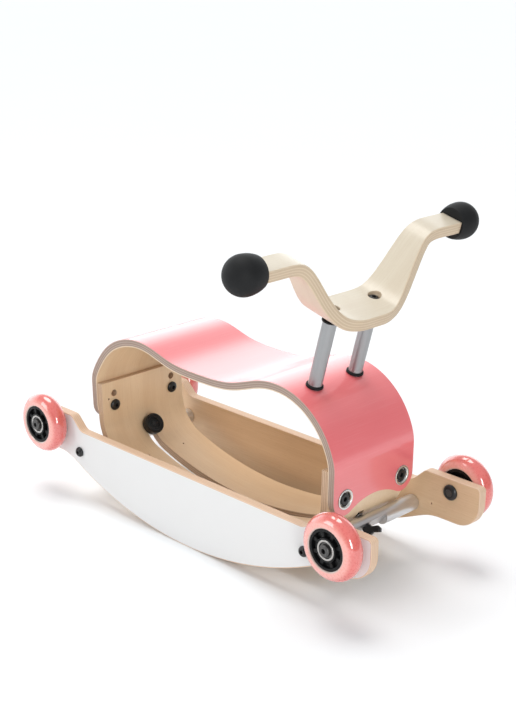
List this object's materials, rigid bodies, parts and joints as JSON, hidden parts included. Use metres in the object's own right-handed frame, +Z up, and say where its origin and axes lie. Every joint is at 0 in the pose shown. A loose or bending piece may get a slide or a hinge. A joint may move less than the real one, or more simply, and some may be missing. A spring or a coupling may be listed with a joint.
{
  "type": "rocking horse",
  "caption": "Child's plywood rocker and ride-on: saddle shell on a curved cradle, rocker side panels with end wheels, wave handlebar with ball grips on posts.",
  "frame": {"origin": "on the floor under the middle, halfway between the four wheels", "axes": "+X towards the handlebar, +Y to the rider's left, +Z up"},
  "size_m": [0.547, 0.3754, 0.3827],
  "materials": {
    "pink_laminate": "gloss laminate on birch plywood",
    "birch_ply": "clear satin lacquer, ply lines on the edges",
    "pale_birch": "clear satin lacquer, ply lines on the edges",
    "white_panel": "white outer face, natural inner face and edges",
    "coral_tyre": "glossy translucent polyurethane",
    "black_plastic": "moulded, satin",
    "black_rubber": "matt",
    "black_steel": "black oxide screws",
    "bright_steel": "turned and polished",
    "satin_aluminium": "satin anodised"
  },
  "bodies": {
    "frame": {"seat_shell": "pink_laminate", "cradle": "birch_ply", "side_panel_left": "white_panel", "side_panel_right": "white_panel", "cross_bar_front": "satin_aluminium", "cross_bar_rear": "satin_aluminium", "post_left": "satin_aluminium", "post_right": "satin_aluminium", "clamp_spacer_front": "black_plastic", "clamp_spacer_rear": "black_plastic", "post_washer_left": "black_plastic", "post_washer_right": "black_plastic", "rear_clamp_bolt": "black_steel", "front_clamp_bolt": "black_steel", "handlebar_bolt_left": "black_steel", "handlebar_bolt_right": "black_steel", "handlebar": "pale_birch", "grip_ball_left": "black_rubber", "grip_ball_right": "black_rubber", "post_collar_left": "black_rubber", "post_collar_right": "black_rubber", "seat_cup_front_left": "bright_steel", "axle_front_left": "black_steel", "axle_nut_front_left": "black_steel", "bar_bolt_front_left": "black_steel", "seat_bolt_front_left": "black_steel", "seat_cup_front_right": "bright_steel", "axle_front_right": "black_steel", "axle_nut_front_right": "black_steel", "bar_bolt_front_right": "black_steel", "seat_bolt_front_right": "black_steel", "seat_cup_rear_left": "bright_steel", "axle_rear_left": "black_steel", "axle_nut_rear_left": "black_steel", "bar_bolt_rear_left": "black_steel", "seat_bolt_rear_left": "black_steel", "seat_cup_rear_right": "bright_steel", "axle_rear_right": "black_steel", "axle_nut_rear_right": "black_steel", "bar_bolt_rear_right": "black_steel", "seat_bolt_rear_right": "black_steel"},
    "wheel_front_left": {"tyre_front_left": "coral_tyre", "wheel_core_front_left": "black_plastic", "bearing_front_left": "bright_steel"},
    "wheel_front_right": {"tyre_front_right": "coral_tyre", "wheel_core_front_right": "black_plastic", "bearing_front_right": "bright_steel"},
    "wheel_rear_left": {"tyre_rear_left": "coral_tyre", "wheel_core_rear_left": "black_plastic", "bearing_rear_left": "bright_steel"},
    "wheel_rear_right": {"tyre_rear_right": "coral_tyre", "wheel_core_rear_right": "black_plastic", "bearing_rear_right": "bright_steel"},
    "rear_clamp_knob": {"rear_clamp_knob": "black_plastic"},
    "front_clamp_lever": {"front_clamp_lever": "black_plastic"}
  },
  "joints": [
    {"name": "wheel_spin_front_left", "type": "hinge", "parent": "frame", "child": "wheel_front_left", "pos_m": [0.235, 0.1079, 0.086], "axis": [0, 1, 0], "continuous": true},
    {"name": "wheel_spin_front_right", "type": "hinge", "parent": "frame", "child": "wheel_front_right", "pos_m": [0.235, -0.1079, 0.086], "axis": [0, 1, 0], "continuous": true},
    {"name": "wheel_spin_rear_left", "type": "hinge", "parent": "frame", "child": "wheel_rear_left", "pos_m": [-0.235, 0.1079, 0.086], "axis": [0, 1, 0], "continuous": true},
    {"name": "wheel_spin_rear_right", "type": "hinge", "parent": "frame", "child": "wheel_rear_right", "pos_m": [-0.235, -0.1079, 0.086], "axis": [0, 1, 0], "continuous": true},
    {"name": "rear_clamp_turn", "type": "hinge", "parent": "frame", "child": "rear_clamp_knob", "pos_m": [-0.16572, 0, 0.07129], "axis": [0.8173, 0, 0.5763], "continuous": true},
    {"name": "front_clamp_turn", "type": "hinge", "parent": "frame", "child": "front_clamp_lever", "pos_m": [0.18681, 0, 0.05631], "axis": [0.8027, 0, -0.5964], "continuous": true}
  ]
}
